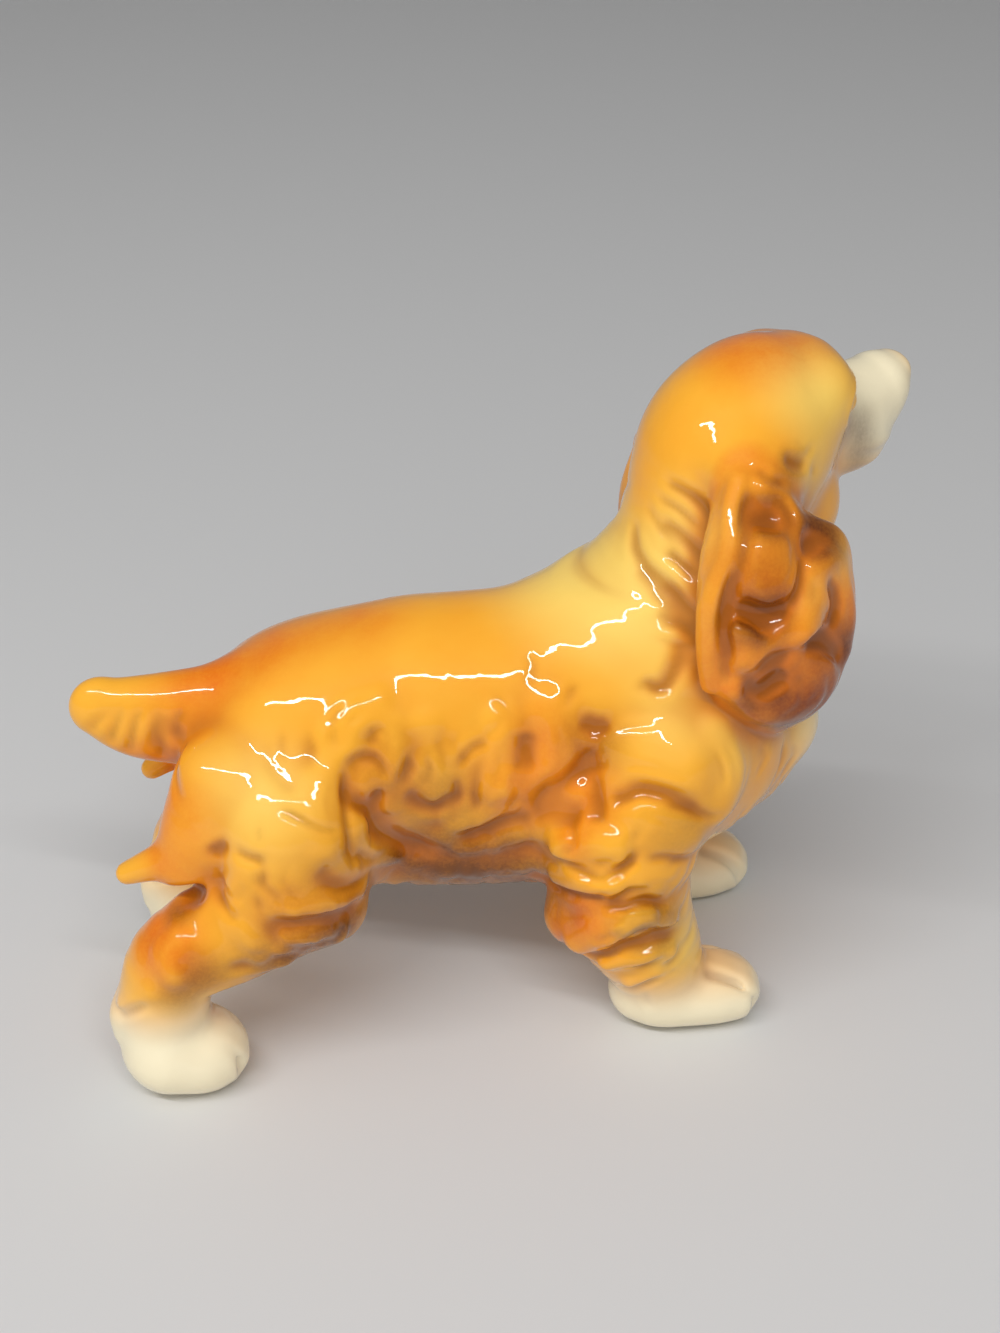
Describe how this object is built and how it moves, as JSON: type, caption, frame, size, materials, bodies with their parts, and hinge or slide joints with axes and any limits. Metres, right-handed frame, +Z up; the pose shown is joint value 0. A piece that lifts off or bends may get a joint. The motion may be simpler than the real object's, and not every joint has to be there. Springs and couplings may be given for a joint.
{
  "type": "porcelain dog figurine",
  "caption": "Glazed porcelain figurine of a long-eared spaniel standing on four paws, with its head turned to its left; it rests on its flat soles.",
  "frame": {"origin": "on the surface the figurine stands on, under the middle of its bounding box", "axes": "+X the way the dog's body faces, +Y to the dog's left, +Z up"},
  "size_m": [0.1558, 0.0644, 0.1269],
  "materials": {
    "honey_glaze": "high gloss clear glaze over airbrushed honey and orange",
    "chestnut_glaze": "high gloss clear glaze over airbrushed chestnut brown",
    "cream_glaze": "high gloss clear glaze over cream body fading up into honey"
  },
  "bodies": {
    "root": {"trunk": "honey_glaze", "head": "honey_glaze", "tail": "honey_glaze", "right_ear": "chestnut_glaze", "left_ear": "chestnut_glaze", "right_foreleg": "cream_glaze", "left_foreleg": "cream_glaze", "right_hindleg": "cream_glaze", "left_hindleg": "cream_glaze"}
  },
  "joints": []
}
